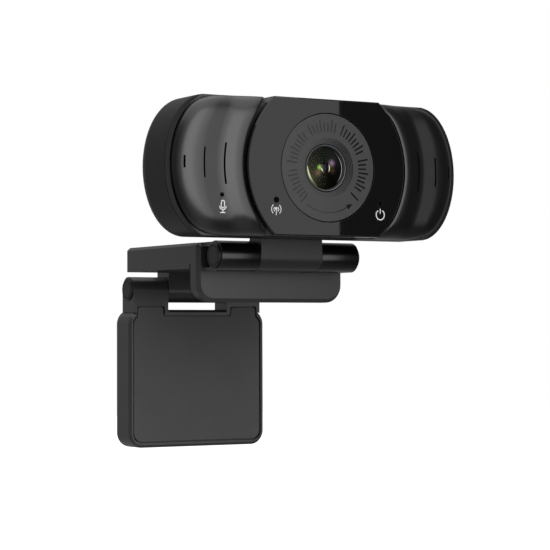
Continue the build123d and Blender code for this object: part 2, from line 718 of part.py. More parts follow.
def plate_sketch(inset):
    height = FOOT_TOP - FOOT_BOTTOM
    middle = (FOOT_TOP + FOOT_BOTTOM) / 2
    size = (2 * (FOOT_HALF_W - inset), height - 2 * inset)
    return Pos(0, middle) * RectangleRounded(*size, FOOT_CORNER - inset)


def pad_sketch(grow):
    """The rubber pad seen from the front: a rounded sheet with two tabs up into the ears."""
    low = PAD_LOW - grow
    high = PAD_HIGH + grow
    sheet = Pos(0, (low + high) / 2) * RectangleRounded(2 * (PAD_HALF_W + grow), high - low, 3.2)
    inner, outer, top = PAD_TAB
    width = outer - inner + 2 * grow
    for side in (-1, 1):
        tab_height = top + grow - PAD_HIGH + 4
        tab_middle = top + grow - tab_height / 2
        sheet += Pos(side * (inner + outer) / 2, tab_middle) * RectangleRounded(width, tab_height, 1.2)
    return sheet


def foot_frame():
    plate = prism_y(plate_sketch(0), FOOT_FRONT, FOOT_BACK)
    plate = chamfer(plate.faces().sort_by(Axis.Y)[0].edges(), 0.9)
    plate = fillet(plate.faces().sort_by(Axis.Y)[-1].edges(), 1.0)
    shape = plate + both_sides(foot_ear)
    room_front = FOOT_FRONT + PAD_DEPTH + 1.6
    cover_front = FOOT_BACK - FOOT_COVER_T
    shape -= prism_y(plate_sketch(FOOT_COVER_INSET + 1.6), room_front, cover_front)
    shape -= prism_y(plate_sketch(FOOT_COVER_INSET), cover_front, FOOT_BACK + 1)
    shape -= prism_y(pad_sketch(PAD_GROOVE), FOOT_FRONT - 1, FOOT_FRONT + PAD_DEPTH)
    for x, z in FOOT_SCREW_PLACES:
        shape += rod_y(x, z, 2.3, room_front - 0.5, cover_front)
        shape -= rod_y(x, z, SMALL_SCREW_R, room_front, cover_front + TINY)
    return shape


def foot_pad():
    shape = prism_y(pad_sketch(0), FOOT_FRONT + 0.05, FOOT_FRONT + PAD_DEPTH)
    return chamfer(shape.faces().sort_by(Axis.Y)[0].edges(), 0.2)


def foot_cover():
    shape = prism_y(plate_sketch(FOOT_COVER_INSET + 0.1), FOOT_BACK - FOOT_COVER_T, FOOT_BACK - 0.2)
    shape = chamfer(shape.faces().sort_by(Axis.Y)[-1].edges(), 0.3)
    for x, z in FOOT_SCREW_PLACES:
        shape -= rod_y(x, z, SMALL_SCREW_R + 0.1, FOOT_BACK - 3, FOOT_BACK + 1)
        shape -= rod_y(x, z, 1.8, FOOT_BACK - 1.0, FOOT_BACK + 1)
    return shape


def foot_screws():
    screws = []
    seat = FOOT_BACK - 1.0
    for x, z in FOOT_SCREW_PLACES:
        screw = rod_y(x, z, SMALL_SCREW_R, seat - 4.0, seat) + rod_y(x, z, 1.6, seat, seat + 0.7)
        screws.append(screw - block(x - 1.1, x + 1.1, seat + 0.4, seat + 1, z - 0.2, z + 0.2))
    return joined(screws)


def foot_hinge_pin():
    reach = EAR_OUTER - 2.0
    return rod_x(FOOT_AXIS_Y, FOOT_AXIS_Z, PIN_R, -reach, reach)


def foot_cap(side):
    return hinge_cap(
        side, FOOT_AXIS_Y, FOOT_AXIS_Z, EAR_OUTER, FOOT_CAP_R, FOOT_CAP_STUB_R, FOOT_CAP_PROUD
    )


def foot_washers():
    return both_sides(
        lambda side: washer(
            side, FOOT_AXIS_Y, FOOT_AXIS_Z, BLOCK_HALF_W + 0.06, EAR_INNER + 0.4, FOOT_WASHER_R
        )
    )


# ---- Writing the parts -----------------------------------------------------------------------
HEAD_PARTS = {
    "front_bezel": front_bezel,
    "centre_panel": centre_panel,
    "rear_shell": rear_shell,
    "shell_screws": shell_screws,
    "neck_bracket": neck_bracket,
    "neck_bush": neck_bush,
    "neck_screws": neck_screws,
    "cable_gland": cable_gland,
    "lens_ring": lens_ring,
    "lens_hood": lens_hood,
    "focus_housing": focus_housing,
    "focus_magnets": focus_magnets,
    "focus_springs": focus_springs,
    "sensor_frame": sensor_frame,
    "sensor_filter": sensor_filter,
    "image_sensor": image_sensor,
    "main_board": main_board,
    "board_screws": board_screws,
    "board_chips": board_chips,
    "cable_connector": cable_connector,
    "microphone": microphone,
    "microphone_boot": microphone_boot,
    "acoustic_mesh_left": lambda: acoustic_mesh(-1),
    "acoustic_mesh_right": lambda: acoustic_mesh(1),
    "light_guide_left": lambda: light_guide(LED_PLACES[0]),
    "light_guide_right": lambda: light_guide(LED_PLACES[1]),
    "status_leds": status_leds,
    "lens_barrel": lens_barrel,
    "lens_retainer": lens_retainer,
    "front_element": front_element,
    "aperture_stop": aperture_stop,
    "middle_element": middle_element,
    "rear_element": rear_element,
    "focus_carriage": focus_carriage,
    "focus_coil": focus_coil,
}
CLIP_PARTS = {
    "clip_frame": clip_frame,
    "clip_cover": clip_cover,
    "clip_screws": clip_screws,
    "tripod_insert": tripod_insert,
    "lip_pad": lip_pad,
    "front_hinge_pin": front_hinge_pin,
    "front_cap_left": lambda: front_cap(-1),
    "front_cap_right": lambda: front_cap(1),
    "front_washers": front_washers,
    "foot_frame": foot_frame,
    "foot_pad": foot_pad,
    "foot_cover": foot_cover,
    "foot_screws": foot_screws,
    "foot_hinge_pin": foot_hinge_pin,
    "foot_cap_left": lambda: foot_cap(-1),
    "foot_cap_right": lambda: foot_cap(1),
    "foot_washers": foot_washers,
}

os.makedirs("parts", exist_ok=True)
head_place = Pos(0, LENS_Y, LENS_Z)
for name, maker in HEAD_PARTS.items():
    export_step(head_place * maker(), f"parts/{name}.step")
for name, maker in CLIP_PARTS.items():
    export_step(maker(), f"parts/{name}.step")
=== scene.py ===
import math

import bmesh
import bpy
import numpy as np
from mathutils import Matrix, Vector


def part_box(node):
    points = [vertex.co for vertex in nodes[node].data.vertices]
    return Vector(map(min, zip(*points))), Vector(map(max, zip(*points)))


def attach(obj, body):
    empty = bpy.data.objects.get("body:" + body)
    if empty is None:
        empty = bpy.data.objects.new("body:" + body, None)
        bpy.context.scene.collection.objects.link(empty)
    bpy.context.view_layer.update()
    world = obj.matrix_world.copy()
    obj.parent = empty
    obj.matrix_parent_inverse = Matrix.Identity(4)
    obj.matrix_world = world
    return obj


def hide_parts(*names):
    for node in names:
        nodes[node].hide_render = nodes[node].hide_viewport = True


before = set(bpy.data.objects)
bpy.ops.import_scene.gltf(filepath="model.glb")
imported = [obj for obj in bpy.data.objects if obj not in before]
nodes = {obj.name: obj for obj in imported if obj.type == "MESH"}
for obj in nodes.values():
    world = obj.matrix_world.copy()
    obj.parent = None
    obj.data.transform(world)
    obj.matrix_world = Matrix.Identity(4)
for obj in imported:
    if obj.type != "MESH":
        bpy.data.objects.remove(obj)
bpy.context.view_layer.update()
MM = 0.001

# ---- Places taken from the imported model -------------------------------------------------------
# Head pieces are built round the lens axis: X across, Y back from the panel's front, Z up, in mm.
panel_low, panel_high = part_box("centre_panel")
LENS_Y = panel_low.y / MM
LENS_Z = (panel_low.z + panel_high.z) / 2 / MM

PANEL_R = 28.85          # the gloss panel's radius
PANEL_HALF_H = 21.5
PANEL_BACK = 2.2
RIM_Y = 7.6              # front of the rear shell's rim

WING_CENTRE = 32.75      # the wings' elliptical ends, cut flat at the head's top and bottom
WING_REACH = 19.0
WING_ELLIPSE_H = 24.0
WING_HALF_H = 21.7
WING_FACE = 2.52         # depth of the wings' flat field
WING_DROP = 4.98         # how far the edge rolls back
ROLL_R = 7.0             # roll-off along the top and bottom
ROLL_END = 9.2           # roll-off at the ends
LIP_R = 29.75            # the wings' lip round the panel
LIP_CREST = 30.5         # the collar's slope grows from here
SLOPE = math.tan(math.radians(19.0))
SLOPE_START = 33.4
SLOPE_END = 35.7
BLEND_END = 38.4
COLLAR_RISE = SLOPE * (SLOPE_END - SLOPE_START + (SLOPE_START - LIP_CREST + BLEND_END - SLOPE_END) / 2)
LIP_Y = WING_FACE - COLLAR_RISE
SLOTS = ((35.62, 36.18, -6.2, 6.6), (42.42, 42.98, -4.4, 5.0), (48.52, 49.08, -1.5, 2.3))
SLOT_DEPTH = 2.4
LIP_ROUND = 0.2          # how far the lip's inner edge rounds back
LIP_WALL = 0.24          # where the wall down into the groove starts, behind LIP_Y
GROOVE_Y = PANEL_BACK + 0.5
SKIRT_Y = RIM_Y - 0.06   # the wings' skirt ends just in front of the rear shell
MIDDLE_X = 20.0          # an X where the wing's outline is its straight top and bottom
LIP_COLUMNS = [29.79, 29.85, 29.95, 30.1, 30.3]    # mesh columns, close together where the face curves
EDGE_COLUMNS = [49.08, 49.5, 49.9, 50.3, 50.65, 50.95, 51.2, 51.4, 51.55, 51.66, 51.72, 51.75]
COLUMNS = (24, 20, 18)   # columns before the first slot, and between the slots
FLAT_ROWS = 81           # rows of the mesh on the flat field and on each rolled edge
ROLL_ROWS = 18
ROW_GAP = 0.12           # no other row is this close to a slot's end
BARREL_R = 4.82          # the clip's front hinge barrels, and a thin glossy skin on them
BARREL_INNER = 11.62
BARREL_OUTER = 25.6
BARREL_SKIN = 0.03
BARREL_EASE = 0.15       # length over which the skin's ends run out
BARREL_TOP = 88          # where the skin starts and ends round the barrel, in degrees
BARREL_BOTTOM = 272
# Painted sheen of the coated glass, standing in for its reflections: angle round the lens from +X towards +Z,
# in degrees, and colour
COATING_PAINTED_SHEEN = (
    (-180, (0.028, 0.026, 0.019)), (-150, (0.06, 0.046, 0.03)), (-110, (0.01, 0.012, 0.008)),
    (-60, (0.007, 0.007, 0.007)), (-15, (0.025, 0.02, 0.02)), (10, (0.06, 0.045, 0.045)),
    (40, (0.07, 0.065, 0.08)), (70, (0.035, 0.038, 0.035)), (100, (0.009, 0.013, 0.009)),
    (135, (0.014, 0.014, 0.011)), (180, (0.028, 0.026, 0.019)),
)
# Painted coloured reflections on it: X, Z, reach in mm and colour
PAINTED_REFLECTION_SPOTS = (
    (2.4, 1.6, 1.7, (1.0, 0.62, 1.0)), (-2.15, 0.15, 1.3, (0.6, 0.95, 0.2)),
    (-2.7, -1.5, 1.7, (0.2, 0.13, 0.09)), (2.6, -0.7, 1.6, (0.2, 0.1, 0.06)),
)
# Bright sickles, painted glints: bevelled arcs of tinted metal set only where highlights fall. Name,
# material, radius, width, depth, then tilt, start and end in degrees, and steps
GLINTS = (
    ("glint_right", "glint_silver", 6.35, 0.3, 2.0, -24, -50, 62, 40),
    ("glint_left", "glint_olive", 6.45, 0.5, 2.0, 24, 175, 245, 40),
    ("glint_pupil_right", "glint_cream", 1.75, 0.36, 1.5, -24, -60, 62, 16),
    ("glint_pupil_left", "glint_cream", 1.75, 0.4, 1.5, 24, 175, 250, 16),
)
MIC_HOLE = (-36.6, -9.4, 0.7)    # X, Z and radius
MIC_SIDES = 24
MIC_DEPTH = 1.5
PRINT_LIFT = 0.006       # how far the white prints lie above the surface
RING_LIFT = 0.004        # and the gloss prints on the trim ring


# ---- Node helpers -------------------------------------------------------------------------------
def new_material(name):
    """An empty node tree with an output and a Principled shader joined to it."""
    material = bpy.data.materials.new(name)
    material.use_nodes = True
    tree = material.node_tree
    tree.nodes.clear()
    output = tree.nodes.new("ShaderNodeOutputMaterial")
    shader = tree.nodes.new("ShaderNodeBsdfPrincipled")
    tree.links.new(shader.outputs["BSDF"], output.inputs["Surface"])
    return material, tree, shader


def math_node(tree, operation, a, b=None):
    """Output of a maths node. Its inputs are numbers or other nodes' outputs."""
    node = tree.nodes.new("ShaderNodeMath")
    node.operation = operation
    for socket, value in zip(node.inputs, (a, b)):
        if value is None:
            continue
        if isinstance(value, (int, float)):
            socket.default_value = value
        else:
            tree.links.new(value, socket)
    return node.outputs[0]


def object_coordinates(tree):
    """The place on the object, in metres."""
    return tree.nodes.new("ShaderNodeTexCoord").outputs["Object"]


def noise(tree, size_mm, detail=2.0, stretch=(1, 1, 1)):
    """Noise with features of about this size, fixed to the object."""
    mapping = tree.nodes.new("ShaderNodeMapping")
    mapping.inputs["Scale"].default_value = stretch
    tree.links.new(object_coordinates(tree), mapping.inputs["Vector"])
    node = tree.nodes.new("ShaderNodeTexNoise")
    node.inputs["Scale"].default_value = 1 / (size_mm * MM)
    node.inputs["Detail"].default_value = detail
    tree.links.new(mapping.outputs["Vector"], node.inputs["Vector"])
    return node.outputs["Fac"]


def remap(tree, value, low, high, new_low, new_high):
    """A value carried from one range to another, and held at the ends."""
    node = tree.nodes.new("ShaderNodeMapRange")
    node.inputs["From Min"].default_value = low
    node.inputs["From Max"].default_value = high
    node.inputs["To Min"].default_value = new_low
    node.inputs["To Max"].default_value = new_high
    tree.links.new(value, node.inputs["Value"])
    return node.outputs["Result"]


def mix_colour(tree, factor, a, b):
    """A mix of two colours, each of them a tuple or another node's output."""
    node = tree.nodes.new("ShaderNodeMix")
    node.data_type = "RGBA"
    tree.links.new(factor, node.inputs["Factor"])
    for socket, value in ((node.inputs[6], a), (node.inputs[7], b)):
        if isinstance(value, tuple):
            socket.default_value = (*value, 1)
        else:
            tree.links.new(value, socket)
    return node.outputs[2]


def bump(tree, height, strength, distance_mm):
    """A bump node that takes its relief from a height."""
    node = tree.nodes.new("ShaderNodeBump")
    node.inputs["Strength"].default_value = strength
    node.inputs["Distance"].default_value = distance_mm * MM
    tree.links.new(height, node.inputs["Height"])
    return node


def edge_mask(tree, radius_mm):
    """Near 1 along outer edges and 0 on flat faces: where wear and painted edge highlights go."""
    bevel = tree.nodes.new("ShaderNodeBevel")
    bevel.samples = 4
    bevel.inputs["Radius"].default_value = radius_mm * MM
    geometry = tree.nodes.new("ShaderNodeNewGeometry")
    dot = tree.nodes.new("ShaderNodeVectorMath")
    dot.operation = "DOT_PRODUCT"
    tree.links.new(bevel.outputs["Normal"], dot.inputs[0])
    tree.links.new(geometry.outputs["Normal"], dot.inputs[1])
    return remap(tree, dot.outputs["Value"], 0.99, 0.8, 0.0, 1.0)


def shaded(colour, factor):
    """A colour made darker or lighter by a factor."""
    return tuple(channel * factor for channel in colour)


def moulded(name, colour, roughness, grain_mm=0.25, grain=0.15, wear_and_edge_highlight=1.6, spread=0.06, gloss=0.5):
    """Moulded plastic or rubber: fine spark grain, cloudy gloss, and paler edges that are partly wear and
    partly a painted edge highlight.
    """
    material, tree, shader = new_material(name)
    cloud = noise(tree, 9.0, 3.0)
    fine = noise(tree, grain_mm, 2.0)
    body = mix_colour(tree, cloud, shaded(colour, 0.9), shaded(colour, 1.12))
    # Paler edges: partly wear, partly a painted edge highlight, strongest on the shell and the caps
    worn = mix_colour(tree, edge_mask(tree, 0.25), body, shaded(colour, wear_and_edge_highlight))
    tree.links.new(worn, shader.inputs["Base Color"])
    patchy = math_node(tree, "MULTIPLY_ADD", noise(tree, 2.2, 4.0), spread)
    patchy.node.inputs[2].default_value = roughness - spread / 2
    tree.links.new(patchy, shader.inputs["Roughness"])
    tree.links.new(bump(tree, fine, grain, 0.02).outputs["Normal"], shader.inputs["Normal"])
    shader.inputs["Specular IOR Level"].default_value = gloss
    return material


def brushed_metal(name, colour, roughness, ring=False):
    """Metal with fine streaks, along X or round the lens."""
    material, tree, shader = new_material(name)
    stretch = (1, 12, 1) if ring else (0.2, 3, 3)
    streaks = noise(tree, 0.4, 3.0, stretch)
    tinted = mix_colour(tree, streaks, shaded(colour, 0.8), shaded(colour, 1.1))
    tree.links.new(tinted, shader.inputs["Base Color"])
    worn = remap(tree, streaks, 0.3, 0.7, roughness - 0.06, roughness + 0.08)
    tree.links.new(worn, shader.inputs["Roughness"])
    tree.links.new(bump(tree, streaks, 0.2, 0.01).outputs["Normal"], shader.inputs["Normal"])
    shader.inputs["Metallic"].default_value = 1.0
    return material


def gloss_panel():
    """Piano-black sheet: nearly a mirror, with faint orange peel, hairline scratches, and a painted highlight
    along its edges.
    """
    material, tree, shader = new_material("panel_gloss")
    peel = noise(tree, 3.5, 1.0)
    hair = noise(tree, 0.5, 4.0, (0.15, 1, 2.5))
    body = mix_colour(tree, noise(tree, 14.0), (0.0025, 0.0025, 0.0026), (0.0038, 0.0038, 0.004))
    # The pale rim along the edges is a painted chamfer highlight
    worn = mix_colour(tree, edge_mask(tree, 0.12), body, (0.09, 0.09, 0.09))
    tree.links.new(worn, shader.inputs["Base Color"])
    tree.links.new(remap(tree, hair, 0.35, 0.75, 0.01, 0.03), shader.inputs["Roughness"])
    tree.links.new(bump(tree, peel, 0.01, 0.01).outputs["Normal"], shader.inputs["Normal"])
    shader.inputs["IOR"].default_value = 1.5
    return material


def tinted_mirror(name, tint, clear, roughness=0.02, ior=1.5):
    """Coated glass seen from outside: a clear pane whose reflections carry the coating's colour."""
    material = bpy.data.materials.new(name)
    material.use_nodes = True
    tree = material.node_tree
    tree.nodes.clear()
    output = tree.nodes.new("ShaderNodeOutputMaterial")
    mix = tree.nodes.new("ShaderNodeMixShader")
    pane = tree.nodes.new("ShaderNodeBsdfTransparent")
    gloss = tree.nodes.new("ShaderNodeBsdfGlossy")
    fresnel = tree.nodes.new("ShaderNodeFresnel")
    fresnel.inputs["IOR"].default_value = ior
    smear = noise(tree, 2.0, 3.0)
    tree.links.new(mix_colour(tree, smear, shaded(tint, 0.85), tint), gloss.inputs["Color"])
    tree.links.new(remap(tree, smear, 0.3, 0.7, roughness, roughness + 0.03), gloss.inputs["Roughness"])
    tree.links.new(mix_colour(tree, smear, shaded(clear, 0.94), clear), pane.inputs["Color"])
    tree.links.new(fresnel.outputs["Fac"], mix.inputs["Fac"])
    tree.links.new(pane.outputs["BSDF"], mix.inputs[1])
    tree.links.new(gloss.outputs["BSDF"], mix.inputs[2])
    tree.links.new(mix.outputs["Shader"], output.inputs["Surface"])
    return material


def painted_sheen_optics():
    """The multi-coated inner element: dark glass with its reflections painted in, as a sheen whose colour and
    brightness change round the axis, and coloured spots.
    """
    material, tree, shader = new_material("coating")
    centred = tree.nodes.new("ShaderNodeVectorMath")
    centred.operation = "SUBTRACT"
    centred.inputs[1].default_value = (0, LENS_Y * MM, LENS_Z * MM)
    tree.links.new(object_coordinates(tree), centred.inputs[0])
    split = tree.nodes.new("ShaderNodeSeparateXYZ")
    tree.links.new(centred.outputs["Vector"], split.inputs[0])
    x, _, z = split.outputs
    angle = math_node(tree, "MULTIPLY", math_node(tree, "ARCTAN2", z, x), 180 / math.pi)
    # The painted sheen: colour and brightness by angle round the axis, standing in for reflections
    painted_sectors = tree.nodes.new("ShaderNodeValToRGB")
    elements = painted_sectors.color_ramp.elements
    elements[0].position, elements[0].color = 0.0, (*COATING_PAINTED_SHEEN[0][1], 1)
    elements[1].position, elements[1].color = 1.0, (*COATING_PAINTED_SHEEN[-1][1], 1)
    for degrees, colour in COATING_PAINTED_SHEEN[1:-1]:
        element = elements.new((degrees + 180) / 360)
        element.color = (*colour, 1)
    tree.links.new(remap(tree, angle, -180, 180, 0, 1), painted_sectors.inputs["Fac"])
    painted_sheen = painted_sectors.outputs["Color"]
    # Spots of painted coloured reflection
    for px, pz, reach, colour in PAINTED_REFLECTION_SPOTS:
        dx = math_node(tree, "SUBTRACT", x, px * MM)
        dz = math_node(tree, "SUBTRACT", z, pz * MM)
        across = math_node(tree, "MULTIPLY", dx, dx)
        upward = math_node(tree, "MULTIPLY", dz, dz)
        distance = math_node(tree, "SQRT", math_node(tree, "ADD", across, upward))
        near = remap(tree, distance, 0.0, reach * MM, 1.0, 0.0)
        painted_sheen = mix_colour(tree, math_node(tree, "POWER", near, 1.6), painted_sheen, colour)
    tree.links.new(painted_sheen, shader.inputs["Base Color"])
    smear = noise(tree, 1.2, 3.0)
    tree.links.new(remap(tree, smear, 0.3, 0.7, 0.34, 0.46), shader.inputs["Roughness"])
    tree.links.new(bump(tree, smear, 0.1, 0.01).outputs["Normal"], shader.inputs["Normal"])
    shader.inputs["Metallic"].default_value = 1.0
    return material


def circuit_board():
    """Green board with a faint pattern of tracks."""
    material, tree, shader = new_material("circuit_board")
    tracks = tree.nodes.new("ShaderNodeTexBrick")
    tracks.inputs["Scale"].default_value = 1 / (6 * MM)
    tracks.inputs["Color1"].default_value = (0.01, 0.06, 0.03, 1)
    tracks.inputs["Color2"].default_value = (0.008, 0.045, 0.022, 1)
    tracks.inputs["Mortar"].default_value = (0.02, 0.11, 0.05, 1)
    tree.links.new(object_coordinates(tree), tracks.inputs["Vector"])
    tree.links.new(tracks.outputs["Color"], shader.inputs["Base Color"])
    tree.links.new(remap(tree, noise(tree, 1.0), 0, 1, 0.25, 0.45), shader.inputs["Roughness"])
    tree.links.new(bump(tree, noise(tree, 0.5), 0.2, 0.02).outputs["Normal"], shader.inputs["Normal"])
    return material


def wire_mesh():
    """Fine black acoustic cloth with its weave as bump."""
    material, tree, shader = new_material("mesh_black")
    wave = tree.nodes.new("ShaderNodeTexChecker")
    wave.inputs["Scale"].default_value = 1 / (0.2 * MM)
    wave.inputs["Color1"].default_value = (0.006, 0.006, 0.006, 1)
    wave.inputs["Color2"].default_value = (0.02, 0.02, 0.02, 1)
    tree.links.new(object_coordinates(tree), wave.inputs["Vector"])
    tree.links.new(wave.outputs["Color"], shader.inputs["Base Color"])
    tree.links.new(remap(tree, noise(tree, 0.3), 0, 1, 0.6, 0.9), shader.inputs["Roughness"])
    tree.links.new(bump(tree, wave.outputs["Fac"], 0.5, 0.03).outputs["Normal"], shader.inputs["Normal"])
    return material


# After a colour, moulded() takes roughness, grain size in mm, grain, edge paling (wear and painted edge
# highlight), spread and gloss
MATERIALS = {
    "bezel_plastic": moulded("bezel_plastic", (0.0034, 0.0034, 0.0034), 0.3, 0.35, 0.04, 3.0, 0.04, 0.85),
    "panel_gloss": gloss_panel(),
    "ring_matte": moulded("ring_matte", (0.017, 0.017, 0.017), 0.33, 0.18, 0.4, 1.3, 0.06, 0.85),
    "ring_print": moulded("ring_print", (0.002, 0.002, 0.002), 0.06, 0.3, 0.02, 1.0, 0.02, 0.4),
    "optics_black": moulded("optics_black", (0.01, 0.01, 0.01), 0.3, 0.2, 0.1, 2.0),
    "shell_plastic": moulded("shell_plastic", (0.003, 0.003, 0.003), 0.42, 0.3, 0.3, 6.0, 0.06, 0.3),
    "clip_plastic": moulded("clip_plastic", (0.025, 0.025, 0.025), 0.33, 0.3, 0.2, 2.2, 0.06, 0.72),
    "neck_plastic": moulded("neck_plastic", (0.021, 0.021, 0.021), 0.36, 0.3, 0.2, 2.2, 0.06, 0.6),
    "hinge_gloss": moulded("hinge_gloss", (0.0016, 0.0016, 0.0016), 0.22, 0.4, 0.03, 3.0, 0.04, 0.75),
    "pad_rubber": moulded("pad_rubber", (0.062, 0.062, 0.062), 0.7, 0.35, 0.5, 1.3),
    "gland_rubber": moulded("gland_rubber", (0.02, 0.02, 0.02), 0.75, 0.3, 0.4, 1.2),
    "steel": brushed_metal("steel", (0.56, 0.56, 0.55), 0.32),
    "black_steel": brushed_metal("black_steel", (0.06, 0.06, 0.065), 0.35),
    "hood_matte": moulded("hood_matte", (0.005, 0.005, 0.005), 0.25, 0.2, 0.2, 1.6, 0.06, 0.9),
    "cap_plastic": moulded("cap_plastic", (0.005, 0.005, 0.005), 0.4, 0.3, 0.2, 7.0),
    "silver_trim": brushed_metal("silver_trim", (0.2, 0.2, 0.21), 0.3, True),
    # The coated element, whose colours are painted reflections
    "coating": painted_sheen_optics(),
    # Tinted metals of the painted glints
    "glint_silver": brushed_metal("glint_silver", (0.3, 0.3, 0.34), 0.2, True),
    "glint_olive": brushed_metal("glint_olive", (0.4, 0.44, 0.27), 0.25, True),
    "glint_cream": brushed_metal("glint_cream", (0.5, 0.55, 0.33), 0.22, True),
    "pupil_glass": moulded("pupil_glass", (0.03, 0.012, 0.035), 0.12, 0.5, 0.02, 1.0, 0.02),
    "brass": brushed_metal("brass", (0.72, 0.5, 0.2), 0.3),
    "copper_coil": brushed_metal("copper_coil", (0.75, 0.36, 0.18), 0.3, True),
    "glass": tinted_mirror("glass", (0.1, 0.12, 0.08), (0.9, 0.93, 0.88)),
    "light_guide": moulded("light_guide", (0.0015, 0.0015, 0.0015), 0.8, 0.5, 0.05, 1.0, 0.06, 0.05),
    "circuit_board": circuit_board(),
    "chip_black": moulded("chip_black", (0.02, 0.02, 0.022), 0.5, 0.2, 0.3, 1.5),
    "connector_white": moulded("connector_white", (0.7, 0.68, 0.62), 0.45, 0.4, 0.1, 1.1),
    "mesh_black": wire_mesh(),
    "led_white": moulded("led_white", (0.75, 0.75, 0.75), 0.4, 0.2, 0.1, 1.0),
}


# Nodes whose look differs from the others in their slot
NODE_LOOKS = {
    "lens_hood": "hood_matte",
    "neck_bracket": "neck_plastic",
    "front_cap_left": "cap_plastic",
    "front_cap_right": "cap_plastic",
    "foot_cap_left": "cap_plastic",
    "foot_cap_right": "cap_plastic",
}


def slot_of(node):
    """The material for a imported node: its own look, or that of the slot it carries."""
    names = [m.name.split(".")[0] for m in nodes[node].data.materials if m]
    return NODE_LOOKS.get(node, names[0] if names else "clip_plastic")


def dress_nodes():
    """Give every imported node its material."""
    for name, obj in nodes.items():
        slot = slot_of(name)
        obj.data.materials.clear()
        obj.data.materials.append(MATERIALS[slot])


# ---- Mesh helpers -------------------------------------------------------------------------------
def to_row(x, y, z):
    """A point given round the lens axis, in mm, as metres in the row frame."""
    return Vector((x * MM, (y + LENS_Y) * MM, (z + LENS_Z) * MM))


OPEN_AREA = 1e-8          # in square metres: more than this, facing back, means an open piece inside out


def tidy_mesh(mesh, sharp):
    """Join doubled points, turn every face outwards (open pieces face forward), and smooth."""
    work = bmesh.new()
    work.from_mesh(mesh)
    bmesh.ops.remove_doubles(work, verts=work.verts, dist=1e-7)
    bmesh.ops.recalc_face_normals(work, faces=work.faces)
    work.normal_update()
    backward = sum(face.normal.y * face.calc_area() for face in work.faces)
    if backward > OPEN_AREA:
        bmesh.ops.reverse_faces(work, faces=work.faces)
    work.to_mesh(mesh)
    work.free()
    for polygon in mesh.polygons:
        polygon.use_smooth = True
    mesh.set_sharp_from_angle(angle=math.radians(sharp))


def piece(name, points, faces, slot, body, sharp=35.0):
    """A smooth mesh piece from points in metres and faces, riding on a body."""
    mesh = bpy.data.meshes.new(name)
    mesh.from_pydata([tuple(p) for p in points], [], faces)
    tidy_mesh(mesh, sharp)
    mesh.materials.append(MATERIALS[slot])
    obj = bpy.data.objects.new(name, mesh)
    bpy.context.scene.collection.objects.link(obj)
    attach(obj, body)
    return obj


def turned(name, profile, slot, body, steps=96):
    """A profile of (radius, depth) turned round the lens axis."""
    points = []
    for i in range(steps):
        angle = math.radians(360.0 * i / steps)
        for radius, depth in profile:
            points.append(to_row(radius * math.cos(angle), depth, radius * math.sin(angle)))
    width = len(profile)
    faces = []
    for i in range(steps):
        j = (i + 1) % steps
        for k in range(width - 1):
            faces.append((i * width + k, j * width + k, j * width + k + 1, i * width + k + 1))
    return piece(name, points, faces, slot, body)


# ---- Wings and drum -------------------------------------------------------------------------------
def collar_drop(radius):
    """How far in front of the flat field the wing stands at this distance from the lens axis."""
    if radius >= BLEND_END:
        return 0.0
    if radius <= LIP_CREST:
        depth = LIP_Y + LIP_ROUND * ((LIP_CREST - radius) / (LIP_CREST - LIP_R)) ** 2
    elif radius <= SLOPE_START:
        depth = LIP_Y + SLOPE * (radius - LIP_CREST) ** 2 / (2 * (SLOPE_START - LIP_CREST))
    else:
        depth = LIP_Y + SLOPE * (SLOPE_START - LIP_CREST) / 2
        depth += SLOPE * (min(radius, SLOPE_END) - SLOPE_START)
        if radius > SLOPE_END:
            reach = radius - SLOPE_END
            depth += SLOPE * (reach - reach**2 / (2 * (BLEND_END - SLOPE_END)))
    return depth - WING_FACE


def edge_roll(x, z):
    """How far the face has rolled back towards the wing's outline."""
    x, z = abs(x), abs(z)
    top = min(max(1 - (WING_HALF_H - z) / ROLL_R, 0.0), 1.0)
    end = 0.0
    px = x - WING_CENTRE
    if px > 0.01:
        scale = math.hypot(px / WING_REACH, z / WING_ELLIPSE_H)
        length = math.hypot(px, z)
        width = ROLL_END * (px / length) ** 0.35
        end = min(max(1 - length * (1 / scale - 1) / width, 0.0), 1.0)
    w = min((top**4 + end**4) ** 0.25, 1.0)
    return WING_DROP * (1 - math.sqrt(1 - w * w))


def wing_depth(x, z):
    """Depth of the wing's face at this place."""
    return WING_FACE + collar_drop(math.hypot(x, z)) + edge_roll(x, z)


def wing_rows():
    """Heights of the grid's rows: even in the middle, closer on the rolled edges, and at each slot's ends."""
    flat = WING_HALF_H - ROLL_R
    rows = list(np.linspace(-flat, flat, FLAT_ROWS))
    for i in range(1, ROLL_ROWS + 1):
        rise = flat + ROLL_R * math.sin(math.radians(90) * i / ROLL_ROWS)
        rows += [rise, -rise]
    ends = [z for slot in SLOTS for z in slot[2:]]
    rows = [z for z in rows if all(abs(z - end) > ROW_GAP for end in ends)]
    return sorted(rows + ends)


def wing_columns():
    """Radii that the grid's columns follow at the middle row, with both sides of each slot among them."""
    near = list(np.linspace(LIP_CREST, SLOTS[0][0], COLUMNS[0]))
    middle = list(np.linspace(SLOTS[0][1], SLOTS[1][0], COLUMNS[1]))
    far = list(np.linspace(SLOTS[1][1], SLOTS[2][0], COLUMNS[2]))
    return LIP_COLUMNS + near + middle + far + EDGE_COLUMNS


def wing_edge(z):
    """Half width of the wings at this height."""
    return WING_CENTRE + WING_REACH * math.sqrt(max(0.0, 1 - (z / WING_ELLIPSE_H) ** 2))


def wing_x(radius, z):
    """X of a column at this height: a circle round the lens axis, bending to the outline at the end."""
    last_circle = SLOTS[1][1]
    start = math.sqrt(last_circle**2 - z**2)
    end = wing_edge(z)
    reach = WING_CENTRE + WING_REACH
    if radius <= last_circle:
        return math.sqrt(radius**2 - z**2)
    return start + (end - start) * (radius - last_circle) / (reach - last_circle)


